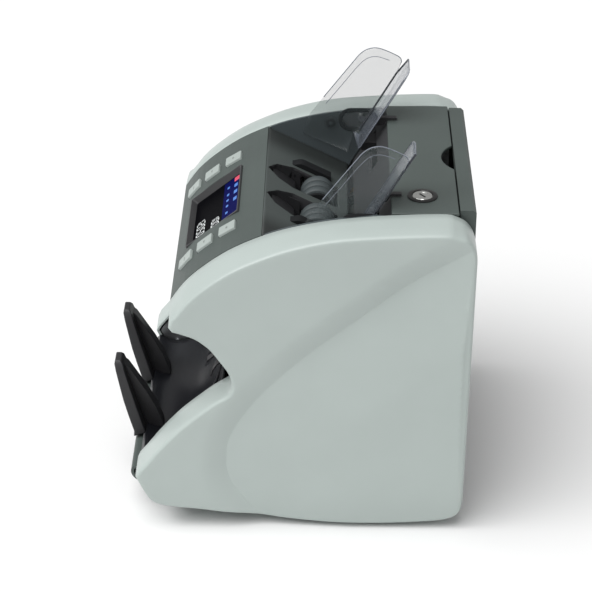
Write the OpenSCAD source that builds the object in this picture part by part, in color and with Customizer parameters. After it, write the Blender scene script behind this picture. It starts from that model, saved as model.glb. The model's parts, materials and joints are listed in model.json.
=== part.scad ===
// Banknote counting machine with a top hopper and a front stacker.
// Millimetres. +X is the machine's right side as seen from the front, -Y is the front,
// +Z is up, and the origin is under the middle of the machine, on the surface it stands on.
// Side outlines are drawn as [y, z] points and pushed out along X.

/* [Case] */
// Width over the two side covers
body_w = 290; // [284:1:300]
// Width of each side cover's top band
band_w = 35; // [34:0.5:36]
// Wall thickness of the moulded covers
wall = 3; // [2.4:0.1:3.2]
// Height of the rubber feet
foot_h = 6; // [5:0.5:6]

/* [Hopper] */
// Thickness of the clear guide sheets
guide_t = 2; // [1.6:0.1:2.4]
// Width of each guide's rear leaf along X
guide_leaf_w = 36; // [30:1:38]
// Diameter of the ribbed feed rollers
feed_roller_d = 30; // [28:0.5:30]

/* [Control panel] */
// Width of one button cap
button_w = 15; // [12:0.5:16]
// Length of one button cap along the slope of the panel
button_l = 16; // [12:0.5:16]
// How far a button travels
button_travel = 1.2; // [0.8:0.1:1.4]
// Width of the display window
display_w = 92; // [86:1:94]
// Length of the display window along the slope of the panel
display_l = 58; // [50:1:60]

/* [Drive] */
// Diameter of the steel shafts
shaft_d = 8; // [6:0.5:8]
// Running clearance between a shaft and its bush, on the radius
run_gap = 0.06; // [0.03:0.01:0.09]
// Number of paddles on a stacker wheel
paddles = 12; // [8:1:14]
// Clearance between parts that pass each other
gap = 0.5; // [0.4:0.05:0.6]

/* [Hidden] */
$fn = 48;
half = body_w / 2;
in_half = half - band_w;
shaft_r = shaft_d / 2;
frame_x = in_half + 0.6;
frame_t = 1.5;
cover_in = in_half - 0.6;

// Places of the shafts, as [y, z]
feed_axis = [23, 234];
drum_axis = [60, 198];
mid_axis = [4.8, 164];
stack_axis = [-42, 106];
motor_axis = [104, 54];
rail_axis = [97, 262];
hinge_axis = [146, 112];

drum_r = 20;
mid_r = 9.5;
stack_r = 31;
feed_r = feed_roller_d / 2;
motor_pulley_r = 8;
drum_pulley_r = 14;
feed_pulley_r = 10;
mid_pulley_r = 7;
stack_pulley_r = 21;
belt_t = 1.2;
belt_gap = 0.4;
inner_belt = 8.5;
outer_belt = 19.5;
motor_belt_x = -frame_x - inner_belt;
feed_belt_x = -frame_x - outer_belt;
stack_belt_x = frame_x + inner_belt;
mid_belt_x = frame_x + outer_belt;
shaft_end = frame_x + 25;
roller_x = 27;
roller_w = 32;
wheel_x = 40;
wheel_w = 8;

// Side view of the top of the case, from the nose to the rear edge of the deck
crest = [[-98, 206], [-86, 223], [-70, 238], [-48, 253.5], [-22, 266], [4, 274.5],
         [36, 281], [72, 285], [112, 287], [140, 287]];
panel_back = -22;
deck_z = 287;
deck_front = 84;
deck_back = 139.3;

// Side view of the hopper floor, falling to the rear, and of the wall behind the notes
slope_top = [-20.4, 264.7];
slope_low = [50, 229.5];
back_top = [84, 283];
back_low = [55, 234];

// Side view of the stacker tray, from the front lip up to the rear wall
tray_path = [[-126, 46], [-117, 41.5], [-106, 41], [-94, 45], [-82, 53], [-71, 67],
             [-62, 88], [-56, 114], [-53, 146]];

// Rear door, its hinge knuckles and the brackets that hold its pin
door_half = in_half - 5.5;
knuckles = [-90, 0, 90];
hinge_brackets = [-103, -60, 60, 103];
lock_at = [77.5, 110.2];
switch_axis = [144, 41];
screw_sites = [[-110, 40], [-80, 206], [60, 262], [132, 40], [132, 240], [20, 30]];

// Control panel rows, counted from the front
row_y = [-87, -70.5, -51.5];
button_x = 69;
display_mid = [-67, 240.5];
display_a = 38.5;

// Hopper guides
guide_out = in_half - 4;
guide_in = guide_out - guide_t;
guide_top = [102, 336];
guide_foot = [71.5, 284];
guide_pulley_x = 99;
guide_pulley_r = 4.5;
guide_belt_z = 260;

// Uniform Catmull-Rom curve through a list of points, n steps between neighbours
function at(p, i) = p[max(0, min(len(p) - 1, i))];
function blend4(a, b, c, d, t) =
    0.5 * (2 * b + (c - a) * t + (2 * a - 5 * b + 4 * c - d) * t * t
           + (3 * b - a - 3 * c + d) * t * t * t);
function curve(p, n) = concat(
    [for (i = [0 : len(p) - 2]) for (k = [0 : n - 1])
        blend4(at(p, i - 1), at(p, i), at(p, i + 1), at(p, i + 2), k / n)],
    [p[len(p) - 1]]);
function flip(p) = [for (i = [len(p) - 1 : -1 : 0]) p[i]];
function unit(v) = v / norm(v);
// Normal of a path at point i, to the left of its direction
function normal_at(p, i) = let (d = unit(at(p, i + 1) - at(p, i - 1))) [-d[1], d[0]];
function shifted(p, d) = [for (i = [0 : len(p) - 1]) p[i] + d * normal_at(p, i)];
// Outline of a sheet that lies between two distances from a path
function sheet(p, d0, d1) = concat(shifted(p, d0), flip(shifted(p, d1)));
function arc(c, r, a0, a1, n) =
    [for (k = [0 : n]) c + r * [cos(a0 + (a1 - a0) * k / n), sin(a0 + (a1 - a0) * k / n)]];
// Open belt round two pulleys, as a closed outline
function belt_line(c1, r1, c2, r2, n) = let (
    d = c2 - c1,
    base = atan2(d[1], d[0]),
    lean = acos((r1 - r2) / norm(d)))
    concat(arc(c1, r1, base + lean, base + 360 - lean, n),
           arc(c2, r2, base - lean, base + lean, n));

// Points of a path that lie between two y values
function span(p, y0, y1) = [for (q = p) if (q[0] >= y0 && q[0] <= y1) q];
crest_line = curve(crest, 3);
guide_lean = unit(guide_top - guide_foot);
guide_rise = [guide_lean[1], -guide_lean[0]];
function crest_z(y) = lookup(y, crest_line);
function crest_a(y) = atan((crest_z(y + 4) - crest_z(y - 4)) / 8);

// Pushes a side outline out from x0 to x1
module side_prism(x0, x1) {
    translate([x0, 0, 0]) rotate([90, 0, 90]) linear_extrude(x1 - x0) children();
}
module rod_x(c, r, x0, x1) {
    translate([x0, c[0], c[1]]) rotate([0, 90, 0]) cylinder(h = x1 - x0, r = r);
}
module block(lo, hi) {
    translate(lo) cube(hi - lo);
}
// Places a shape on the panel at a given y, with its z axis along the panel's normal
module on_panel(y) {
    translate([0, y, crest_z(y)]) rotate([crest_a(y), 0, 0]) children();
}
module on_display() {
    translate([0, display_mid[0], display_mid[1]]) rotate([display_a, 0, 0]) children();
}

// Outline of a side cover with its front scoop, seen from the side
module cover_outline() {
    scoop_upper = curve([[-95, 193], [-87, 190.5], [-76, 186], [-65, 177], [-57, 166], [-50, 155.4]], 3);
    scoop_lower = curve([[-47.2, 146.5], [-46.8, 139.5], [-50.5, 133.4], [-60, 127], [-70, 119.3],
                         [-88, 103.8], [-100, 91.4], [-110.3, 79.4], [-120.5, 66], [-127.6, 57.4]], 3);
    under = curve([[-130, 52], [-120, 31], [-112, 24], [-98, 20.8], [-76, 18.5], [-44, 13.5],
                   [-12, 8], [22, 5], [56, 4], [90, 4.6], [122, 7], [136, 9.5], [144.5, 14],
                   [148.5, 22], [149.6, 34]], 2);
    rear_corner = curve([[153.4, 256], [152.6, 266], [149, 275], [143, 282], [133, 286.6]], 3);
    polygon(concat(span(crest_line, -98, 130), flip(rear_corner), flip(under),
                   flip(scoop_lower), flip(scoop_upper), [[-98, 197]]));
}

// Hollow cover between x = in_half and x = half
module side_cover_shape() {
    difference() {
        side_prism(in_half, half) cover_outline();
        side_prism(in_half - 1, half - wall) offset(delta = -wall) cover_outline();
    }
    for (p = screw_sites) difference() {
        rod_x(p, 5, frame_x + frame_t + 0.1, half - wall + 0.5);
        rod_x(p, 1.4, frame_x, half - wall - 4);
    }
}
module frame_shape() {
    difference() {
        side_prism(frame_x, frame_x + frame_t) offset(delta = -wall - 1) cover_outline();
        for (a = [feed_axis, drum_axis, mid_axis, stack_axis])
            rod_x(a, shaft_r + 4, frame_x - 1, frame_x + 3);
        rod_x(motor_axis, 8, frame_x - 1, frame_x + 3);
        for (p = screw_sites) rod_x(p, 1.8, frame_x - 1, frame_x + 3);
    }
}
module mirror_x() {
    mirror([1, 0, 0]) children();
}

module base_tray() {
    rim = in_half - 1.2;
    color("dimgray") difference() {
        block([-rim, -101, foot_h], [rim, 146, foot_h + 22]);
        block([-rim + 2, -99, foot_h + 2], [rim - 2, 144, foot_h + 30]);
        for (i = [-3 : 3]) block([i * 14 - 2, 30, foot_h - 1], [i * 14 + 2, 70, foot_h + 3]);
    }
}
module feet() {
    color("black") for (x = [-92, 92], y = [-84, 124])
        translate([x, y, 0]) cylinder(h = foot_h, r = 10);
}
module side_cover_right() { color([0.72, 0.76, 0.75]) side_cover_shape(); }
module side_cover_left() { color([0.72, 0.76, 0.75]) mirror_x() side_cover_shape(); }
module side_frames() {
    color("silver") {
        frame_shape();
        mirror_x() frame_shape();
    }
}
module tie_rods() {
    color("silver") for (p = [[120, 150], [70, 120], [-20, 60], [128, 225], [-45, 190]])
        rod_x(p, 4, -frame_x, frame_x);
}
module shaft_bushes() {
    color("goldenrod") for (s = [-1, 1], a = [feed_axis, drum_axis, mid_axis, stack_axis])
        difference() {
            x0 = s > 0 ? frame_x - 1 : -frame_x - frame_t - 0.5;
            rod_x(a, shaft_r + 4, x0, x0 + frame_t + 1.5);
            rod_x(a, shaft_r + run_gap, x0 - 1, x0 + 5);
        }
}

// Chin panel between the side covers
module front_cover() {
    face = [[-127, 40.8], [-133.4, 40.9], [-136.4, 38.6], [-136.6, 33.6], [-133.4, 28.4], [-126, 23.4],
            [-116, 20], [-108, 18.6], [-106, 14]];
    color([0.38, 0.41, 0.4]) side_prism(-cover_in, cover_in) polygon(sheet(curve(face, 3), 0, 2.4));
}

module stacker_tray() {
    path = curve(tray_path, 3);
    color([0.08, 0.08, 0.09]) difference() {
        union() {
            side_prism(-cover_in, cover_in) polygon(sheet(path, -2.4, 0));
            for (s = [-1, 1]) side_prism(s * 99 - 1, s * 99 + 1)
                polygon([[-122, 39], [-106, 36], [-92, 42], [-80, 52], [-70, 40], [-70, 28.5],
                         [-96, 28.5], [-114, 34]]);
            side_prism(-cover_in, cover_in)
                polygon(sheet([[-85, 190], [-68, 185], [-53, 172], [-45, 157]], 0, 2));
        }
        for (s = [-1, 1]) block([s * wheel_x - 7, -84, 60], [s * wheel_x + 7, -40, 142]);
    }
}
// Two leaning plates that hold the counted notes
module stacker_plates() {
    outline = [[-18, 0], [18, 0], [15.5, 40], [12.5, 66], [8, 73.5], [-8, 73.5], [-12.5, 66], [-15.5, 40]];
    color([0.14, 0.14, 0.15]) for (s = [-1, 1]) intersection() {
        side_prism(s * 46 - 19, s * 46 + 19)
            polygon([[-137.5, 47.5], [-138, 42], [-127, 46.4], [-128.5, 52], [-135, 74],
                     [-146, 113], [-151.5, 116], [-153.5, 112.5], [-146, 78]]);
        translate([s * 46, -110, 41.5]) rotate([90, 0, 0]) linear_extrude(60) polygon(outline);
    }
}

module control_panel() {
    skin = span(crest_line, -98.5, panel_back);
    color([0.38, 0.41, 0.4]) difference() {
        union() {
            side_prism(-cover_in, cover_in) polygon(sheet(skin, -3, 0));
            side_prism(-cover_in, cover_in)
                polygon([[-98, 206], [-94.6, 206], [-93.4, 190.6], [-86, 189.4], [-86, 187],
                         [-96.4, 188]]);
            for (s = [-1, 1]) side_prism(s * (cover_in - 1) - 1, s * (cover_in - 1) + 1)
                polygon(concat(shifted(skin, -2), [[-40, 238], [-70, 196], [-92, 191]]));
        }
        on_display() translate([-display_w / 2, -display_l / 2, -20])
            cube([display_w, display_l, 40]);
        for (y = row_y, s = [-1, 1]) on_panel(y)
            translate([s * button_x - button_w / 2 - gap, -button_l / 2 - gap, -10])
                cube([button_w + 2 * gap, button_l + 2 * gap, 20]);
    }
}
module display_bezel() {
    w = display_w - 0.6;
    l = display_l - 0.6;
    color([0.2, 0.22, 0.22]) on_display() difference() {
        translate([-w / 2, -l / 2, -9]) cube([w, l, 8.6]);
        translate([-w / 2 + 2.5, -l / 2 + 2.5, -10]) cube([w - 5, l - 5, 20]);
    }
}
module display_glass() {
    w = display_w - 6.2;
    l = display_l - 6.2;
    color([0.03, 0.03, 0.04]) on_display() translate([-w / 2, -l / 2, -7.5]) cube([w, l, 1.5]);
}
module display_module() {
    w = display_w - 7;
    l = display_l - 7;
    color("dimgray") on_display() translate([-w / 2, -l / 2, -14]) cube([w, l, 6.3]);
}
// Rows are numbered 0 to 2 from the front, and s is the side
module button_shape(row, s) {
    color([0.75, 0.79, 0.77]) on_panel(row_y[row]) translate([s * button_x, 0, 0]) {
        translate([-button_w / 2, -button_l / 2, -2.2]) cube([button_w, button_l, 4.2]);
        translate([0, 0, -6]) cylinder(h = 4.5, r = 2.5);
    }
}
module button_1() { button_shape(0, -1); }
module button_2() { button_shape(1, -1); }
module button_3() { button_shape(2, -1); }
module button_4() { button_shape(0, 1); }
module button_5() { button_shape(1, 1); }
module button_6() { button_shape(2, 1); }

module hopper_floor() {
    well = roller_w / 2 + 4;
    color([0.22, 0.23, 0.26]) difference() {
        side_prism(-in_half + 3, in_half - 3)
            polygon([slope_top, slope_low, slope_low + [-1, -2.8], slope_top + [0, -3.4]]);
        for (s = [-1, 1])
            block([s * roller_x - well, -16, 200], [s * roller_x + well, 41, 290]);
    }
}
// Cups under the hopper floor in front of the feed rollers
module roller_wells() {
    w = roller_w / 2 + 3.6;
    lip = [[-15.6, 257.5], [-15.6, 259.5], [3, 241], [8, 226], [6.4, 226], [1.5, 240.4]];
    color([0.07, 0.07, 0.08]) for (s = [-1, 1]) {
        side_prism(s * roller_x - w, s * roller_x + w) polygon(lip);
        for (t = [-1, 1]) side_prism(s * roller_x + t * (w - 0.6) - 0.6, s * roller_x + t * (w - 0.6) + 0.6)
            polygon([[-15.6, 259.2], [8, 248], [8, 226], [3, 240]]);
    }
}
module hopper_side_shape() {
    difference() {
        side_prism(in_half - 2.6, in_half - 0.6)
            polygon(concat([[-19.4, 260.6], [-19.4, 266.4]],
                           shifted(span(crest_line, -20, deck_front), -0.3),
                           [[83.4, 283], [54, 234.2], [50.6, 227]]));
        for (y = [52.5, 65.5]) rod_x([y, 274], 8.5, in_half - 4, in_half + 1);
        block([in_half - 4, 52.5, 265.5], [in_half + 1, 65.5, 282.5]);
    }
    rod_x([34.6, 270.6], 5.6, in_half - 3.4, in_half - 2.6);
}
module hopper_side_right() { color([0.25, 0.28, 0.3]) hopper_side_shape(); }
module hopper_side_left() { color([0.25, 0.28, 0.3]) mirror_x() hopper_side_shape(); }
// Leaning wall behind the notes, slotted for the guide arms
module hopper_back() {
    color([0.22, 0.23, 0.25]) difference() {
        side_prism(-in_half + 3, in_half - 3)
            polygon([back_top, back_low, back_low + [2.4, -1.4], back_top + [3, 0]]);
        for (s = [-1, 1]) block([s > 0 ? 30 : -100, 55, 256], [s > 0 ? 100 : -30, 92, 268]);
    }
}
module deck() {
    notch_r = 34;
    notch_depth = 10;
    color([0.38, 0.41, 0.4]) difference() {
        block([-cover_in, deck_front + 0.2, deck_z - 14], [cover_in, deck_back, deck_z]);
        block([-cover_in + 2, deck_front + 3.6, deck_z - 20], [cover_in - 2, deck_back - 2, deck_z - 3]);
        block([-cover_in + 2, deck_front - 1, deck_z - 20], [cover_in - 2, deck_front + 4, deck_z - 4]);
        translate([0, deck_back - notch_depth + notch_r, deck_z - 30]) cylinder(h = 40, r = notch_r);
        translate([lock_at[0], lock_at[1], deck_z - 20]) cylinder(h = 30, r = 10);
        block([46, deck_back - 10, deck_z - 20], [66, deck_back + 1, deck_z - 3]);
    }
}
module lock_body() {
    color([0.05, 0.05, 0.05]) translate(lock_at) difference() {
        union() {
            translate([0, 0, deck_z]) cylinder(h = 1.4, r = 12.6);
            translate([0, 0, deck_z - 12]) cylinder(h = 12, r = 9.8);
        }
        translate([0, 0, deck_z - 20]) cylinder(h = 30, r = 8.6);
    }
}
module lock_plug() {
    color("gainsboro") translate(lock_at) difference() {
        translate([0, 0, deck_z - 14]) cylinder(h = 15.2, r = 8.5);
        rotate(35) block([-4.2, -0.9, deck_z - 8], [4.2, 0.9, deck_z + 5]);
    }
}
// Cam on the end of the barrel, which points to the rear when unlocked
module lock_cam() {
    color("silver") translate(lock_at) block([-5, -6, deck_z - 16.4], [5, 24, deck_z - 14]);
}
// Catch under the door's tongue; the turned cam stands behind it
module door_catch() {
    color("silver") block([54, 98.5, 270.2], [60, 102, 274]);
}
// Upper rear wall with its top strip, hinged along its lower edge
module rear_door() {
    color([0.38, 0.41, 0.4]) difference() {
        union() {
            side_prism(-door_half, door_half)
                polygon([[140.3, 284.2], [140.3, 287.3], [151, 287.3], [153.5, 285], [152.4, 113],
                         [149.6, 113], [150.4, 284.2]]);
            block([-door_half, 140.3, 278], [door_half, 142, 285]);
            for (s = [-1, 1])
                block([s * (door_half - 1) - 1, 142, 130], [s * (door_half - 1) + 1, 151, 285]);
            for (x = knuckles) {
                rod_x(hinge_axis, 4.2, x - 10, x + 10);
                block([x - 10, 146, 112.5], [x + 10, 151.5, 116.2]);
            }
            block([50, 97, 274], [62, 151, 276]);
        }
        rod_x(hinge_axis, 2 + run_gap, -door_half - 1, door_half + 1);
        for (x = hinge_brackets) block([x - 3.5, 148, 112], [x + 3.5, 154, 124]);
    }
}
module door_hinge_pin() {
    color("silver") {
        rod_x(hinge_axis, 2, -105, 105);
        for (x = hinge_brackets) {
            block([x - 2, 141, 97], [x + 2, 146.2, 112]);
            block([x - 2, 141, 103.4], [x + 2, 148.8, 115]);
        }
    }
}
module rear_panel() {
    color([0.38, 0.41, 0.4]) difference() {
        block([-cover_in + 1, 146.4, foot_h + 3], [cover_in - 1, 149, 103]);
        block([-92.4, 140, 27.6], [-35.6, 155, 51.4]);
        for (i = [0 : 9]) block([20 + i * 8, 140, 40], [23.6 + i * 8, 155, 80]);
    }
}
// Appliance inlet with the frame of its rocker switch in one moulding
module power_inlet() {
    color("black") difference() {
        union() {
            block([-92, 128, 28], [-36, 149, 51]);
            block([-97, 149.1, 24], [-31, 151, 55]);
        }
        block([-89.5, 131, 30.5], [-66.5, 155, 47.5]);
        block([-48, 133, 33], [-38, 155, 49]);
    }
    color("silver") for (x = [-84, -78, -72]) block([x - 0.4, 130.9, 36], [x + 0.4, 144, 42]);
}
module power_switch() {
    color("firebrick") {
        side_prism(-47.4, -38.6) translate(switch_axis)
            polygon([[-3, -3], [-3, 3], [4.4, 7], [6.2, 6.4], [5.2, 0], [7.6, -5.4], [5, -6.4]]);
        rod_x(switch_axis, 1.6, -47.9, -38.1);
    }
}

// Clear guide of one side: a side leaf and a rear leaf on a black carriage that rides the rail.
// run_z is the height of the belt run that the carriage clips to
module guide_shape(run_z) {
    low = guide_foot - 26 * guide_lean;
    into_leaf = guide_t / 2 * guide_rise;
    side_leaf = concat([[8, 261], [16, 281]],
                       curve([[28, 297], [54, 331], [62, 340], [73, 345.2], [84, 342.6], [94, 338]], 3),
                       [guide_top + into_leaf, low + into_leaf, [53, 243]]);
    color([0.6, 0.63, 0.66]) {
        side_prism(guide_in, guide_out) polygon(side_leaf);
        side_prism(guide_out - guide_leaf_w, guide_out)
            polygon([low, guide_top, guide_top + guide_t * guide_rise, low + guide_t * guide_rise]);
    }
    color("silver") rod_x([62, 276], 3, guide_out - 1, in_half + 0.1);
    color([0.06, 0.06, 0.06]) difference() {
        union() {
            side_prism(76, 96)
                polygon([[59.8, 262.6], [61.9, 266], [94, 266], [94, 258], [62, 258]]);
            block([76, 91, 255], [96, 103, 267.5]);
            side_prism(75, 80) polygon([[72.1, 282.5], [76.7, 290.3], [93, 290.3], [93, 288.3],
                                        [84.4, 288.3], [80.5, 282.5]]);
            block([82, 102, run_z - 2], [92, 112.5, run_z + 3.2]);
        }
        rod_x(rail_axis, 3 + run_gap, 60, 110);
        block([70, 105.5, run_z - 0.4], [100, 111.5, run_z + 1.6]);
    }
}
module guide_right() { guide_shape(guide_belt_z + guide_pulley_r + belt_gap); }
module guide_left() { mirror_x() guide_shape(guide_belt_z - guide_pulley_r - belt_gap - belt_t); }
module guide_rail() {
    color("silver") {
        rod_x(rail_axis, 3, -frame_x, frame_x);
        for (s = [-1, 1]) {
            translate([s * guide_pulley_x, 114, guide_belt_z]) rotate([90, 0, 0]) cylinder(h = 10, r = 1.5);
            block([s * guide_pulley_x - 4, 113.4, 255], [s * guide_pulley_x + 4, 115, deck_z - 3]);
        }
    }
}
module guide_belt() {
    module loop(r) {
        polygon(belt_line([-guide_pulley_x, 0], r, [guide_pulley_x, 0], r, 12));
    }
    color("black") translate([0, 111, guide_belt_z]) rotate([90, 0, 0]) linear_extrude(5) difference() {
        loop(guide_pulley_r + belt_gap + belt_t);
        loop(guide_pulley_r + belt_gap);
    }
}
module guide_pulley_shape(s) {
    color("white") translate([s * guide_pulley_x, 112.8, guide_belt_z]) rotate([90, 0, 0]) difference() {
        union() {
            cylinder(h = 7.6, r = guide_pulley_r);
            cylinder(h = 1, r = guide_pulley_r + 1.6);
        }
        translate([0, 0, -1]) cylinder(h = 10, r = 1.5 + run_gap);
    }
}
module guide_pulley_left() { guide_pulley_shape(-1); }
module guide_pulley_right() { guide_pulley_shape(1); }

module shaft(axis, x0, x1) {
    rod_x(axis, shaft_r, x0, x1);
}
module feed_shaft() {
    color("silver") shaft(feed_axis, -shaft_end, frame_x + 3);
}
// Two rollers with rounded ribs and a black hub at each end
module feed_rollers() {
    rib = roller_w / 5;
    for (s = [-1, 1]) translate([s * roller_x, feed_axis[0], feed_axis[1]]) rotate([0, 90, 0]) {
        color([0.3, 0.33, 0.34]) difference() {
            union() {
                translate([0, 0, -roller_w / 2]) cylinder(h = roller_w, r = feed_r - 1.4);
                for (i = [0 : 4]) translate([0, 0, -roller_w / 2 + i * rib + 0.8])
                    cylinder(h = rib - 1.6, r = feed_r);
            }
            translate([0, 0, -30]) cylinder(h = 60, r = shaft_r);
        }
    }
}
module feed_drum() {
    color([0.75, 0.75, 0.72]) {
        shaft(drum_axis, -shaft_end, shaft_end);
        difference() {
            rod_x(drum_axis, drum_r - 2, -78, 78);
            for (x = [-60, -20, 20, 60]) difference() {
                rod_x(drum_axis, drum_r, x - 7, x + 7);
                rod_x(drum_axis, drum_r - 4, x - 8, x + 8);
            }
        }
    }
}
module drum_rings() {
    color([0.12, 0.12, 0.12]) for (x = [-60, -20, 20, 60]) difference() {
        rod_x(drum_axis, drum_r, x - 7, x + 7);
        rod_x(drum_axis, drum_r - 4, x - 8, x + 8);
    }
}
module transport_roller() {
    color("silver") shaft(mid_axis, -frame_x - 3, shaft_end);
    color([0.12, 0.12, 0.12]) for (x = [-60, -20, 20, 60]) rod_x(mid_axis, mid_r, x - 7, x + 7);
}
module stacker_shaft() {
    color("silver") shaft(stack_axis, -frame_x - 3, frame_x + inner_belt + 6);
}
module stacker_wheels() {
    color([0.16, 0.16, 0.17]) for (s = [-1, 1])
        side_prism(s * wheel_x - wheel_w / 2, s * wheel_x + wheel_w / 2)
            translate(stack_axis) difference() {
                union() {
                    circle(r = 11);
                    for (k = [0 : paddles - 1]) rotate(k * 360 / paddles)
                        polygon(sheet([for (t = [0 : 5]) (9.5 + t * (stack_r - 10) / 5)
                                       * [cos(t * 11), sin(t * 11)]], -0.6, 0.6));
                }
                circle(r = shaft_r);
            }
}

// Belts and pulleys run outside the frames, inside the hollow side covers
module pulley(axis, r, x) {
    difference() {
        union() {
            rod_x(axis, r, x - 4, x + 4);
            rod_x(axis, r + 1.8, x - 5, x - 4);
            rod_x(axis, r + 1.8, x + 4, x + 5);
        }
        rod_x(axis, shaft_r, x - 8, x + 8);
    }
}
module drum_pulleys() {
    color("white") for (x = [motor_belt_x, feed_belt_x, stack_belt_x, mid_belt_x])
        pulley(drum_axis, drum_pulley_r, x);
}
module feed_pulley() { color("white") pulley(feed_axis, feed_pulley_r, feed_belt_x); }
module transport_pulley() { color("white") pulley(mid_axis, mid_pulley_r, mid_belt_x); }
module stacker_pulley() { color("white") pulley(stack_axis, stack_pulley_r, stack_belt_x); }
module belt(c1, r1, c2, r2, x) {
    side_prism(x - 3, x + 3) difference() {
        polygon(belt_line(c1, r1 + belt_gap + belt_t, c2, r2 + belt_gap + belt_t, 14));
        polygon(belt_line(c1, r1 + belt_gap, c2, r2 + belt_gap, 14));
    }
}
module drive_belts() {
    color("black") {
        belt(motor_axis, motor_pulley_r, drum_axis, drum_pulley_r, motor_belt_x);
        belt(drum_axis, drum_pulley_r, feed_axis, feed_pulley_r, feed_belt_x);
        belt(drum_axis, drum_pulley_r, stack_axis, stack_pulley_r, stack_belt_x);
        belt(drum_axis, drum_pulley_r, mid_axis, mid_pulley_r, mid_belt_x);
    }
}
module main_motor() {
    color("gray") {
        rod_x(motor_axis, 21, -100, -44);
        rod_x(motor_axis, 7.5, -frame_x - 1, -100);
        block([-98, 88, foot_h + 2.1], [-48, 120, 36]);
    }
}
module motor_pulley() {
    color("white") {
        rod_x(motor_axis, 2.5, -frame_x - inner_belt - 6, -frame_x - 1.4);
        rod_x(motor_axis, motor_pulley_r, motor_belt_x - 4, motor_belt_x + 4);
        for (x = [motor_belt_x - 5, motor_belt_x + 4])
            rod_x(motor_axis, motor_pulley_r + 1.8, x, x + 1);
    }
}
// Bent sheets that lead the notes round the drum and down to the stacker wheels
module note_guides() {
    front = concat(arc(drum_axis, 23, 118, 205, 10), [[22, 170]]);
    rear = [[54, 172], [38, 178], [-6, 134], [-10, 124]];
    color([0.5, 0.52, 0.53]) {
        side_prism(-cover_in + 2, cover_in - 2) polygon(sheet(front, -1.2, 0));
        side_prism(-cover_in + 2, cover_in - 2) polygon(sheet(rear, 0, 1.2));
    }
}
module sensor_bars() {
    color([0.1, 0.1, 0.12]) {
        block([-80, 88, 190], [80, 100, 204]);
        block([-80, 10, 202], [80, 24, 214]);
    }
}
// Main board in the base, and the board with the key switches under the control panel
module circuit_boards() {
    color("seagreen") on_display() {
        translate([-80, -31, -18]) cube([160, 62, 1.6]);
        for (y = [-22, 0, 20], s = [-1, 1]) translate([s * button_x - 3, y - 3, -16.4]) cube([6, 6, 1.4]);
    }
    color("seagreen") block([-100, -60, foot_h + 8], [20, 60, foot_h + 9.6]);
    color("seagreen") for (x = [-96, 16], y = [-56, 56])
        translate([x, y, foot_h + 2]) cylinder(h = 6, r = 3);
    color([0.1, 0.1, 0.1]) {
        block([-70, -30, foot_h + 9.6], [-46, -6, foot_h + 12.4]);
        block([-30, -20, foot_h + 9.6], [-14, 12, foot_h + 13]);
        for (i = [0 : 4]) block([-90 + i * 18, 40, foot_h + 9.6], [-78 + i * 18, 48, foot_h + 17]);
    }
}
module power_supply() {
    color("silver") difference() {
        block([34, 40, foot_h + 2], [100, 138, 56]);
        block([35.2, 41.2, foot_h + 3.2], [98.8, 136.8, 60]);
    }
    color("darkorange") block([50, 60, foot_h + 3.2], [84, 92, 42]);
    color([0.15, 0.15, 0.3]) for (y = [104, 122]) translate([60, y, foot_h + 3.2]) cylinder(h = 34, r = 8);
}
module cover_screws() {
    color("silver") for (s = [-1, 1], p = screw_sites) {
        x0 = s > 0 ? frame_x - 1 : -frame_x;
        x1 = s > 0 ? frame_x : -frame_x - 12;
        rod_x(p, 3, x0, x0 + 1);
        rod_x(p, 1.4, x1, x1 + 12);
    }
}

base_tray();
feet();
side_cover_left();
side_cover_right();
side_frames();
tie_rods();
shaft_bushes();
front_cover();
stacker_tray();
stacker_plates();
control_panel();
display_bezel();
display_glass();
display_module();
button_1();
button_2();
button_3();
button_4();
button_5();
button_6();
hopper_floor();
roller_wells();
hopper_side_left();
hopper_side_right();
hopper_back();
deck();
lock_body();
lock_plug();
lock_cam();
rear_door();
door_catch();
door_hinge_pin();
rear_panel();
power_inlet();
power_switch();
guide_left();
guide_right();
guide_rail();
guide_belt();
guide_pulley_left();
guide_pulley_right();
feed_shaft();
feed_rollers();
feed_drum();
drum_rings();
transport_roller();
stacker_shaft();
stacker_wheels();
drum_pulleys();
feed_pulley();
transport_pulley();
stacker_pulley();
drive_belts();
main_motor();
motor_pulley();
note_guides();
sensor_bars();
circuit_boards();
power_supply();
cover_screws();
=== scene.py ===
# Banknote counting machine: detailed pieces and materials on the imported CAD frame.
# Shapes are drawn in millimetres, in the CAD frame, and turned into metres in mesh_piece().
import json
import math

import bmesh
import bpy
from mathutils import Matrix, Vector
from mathutils.geometry import delaunay_2d_cdt


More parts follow.
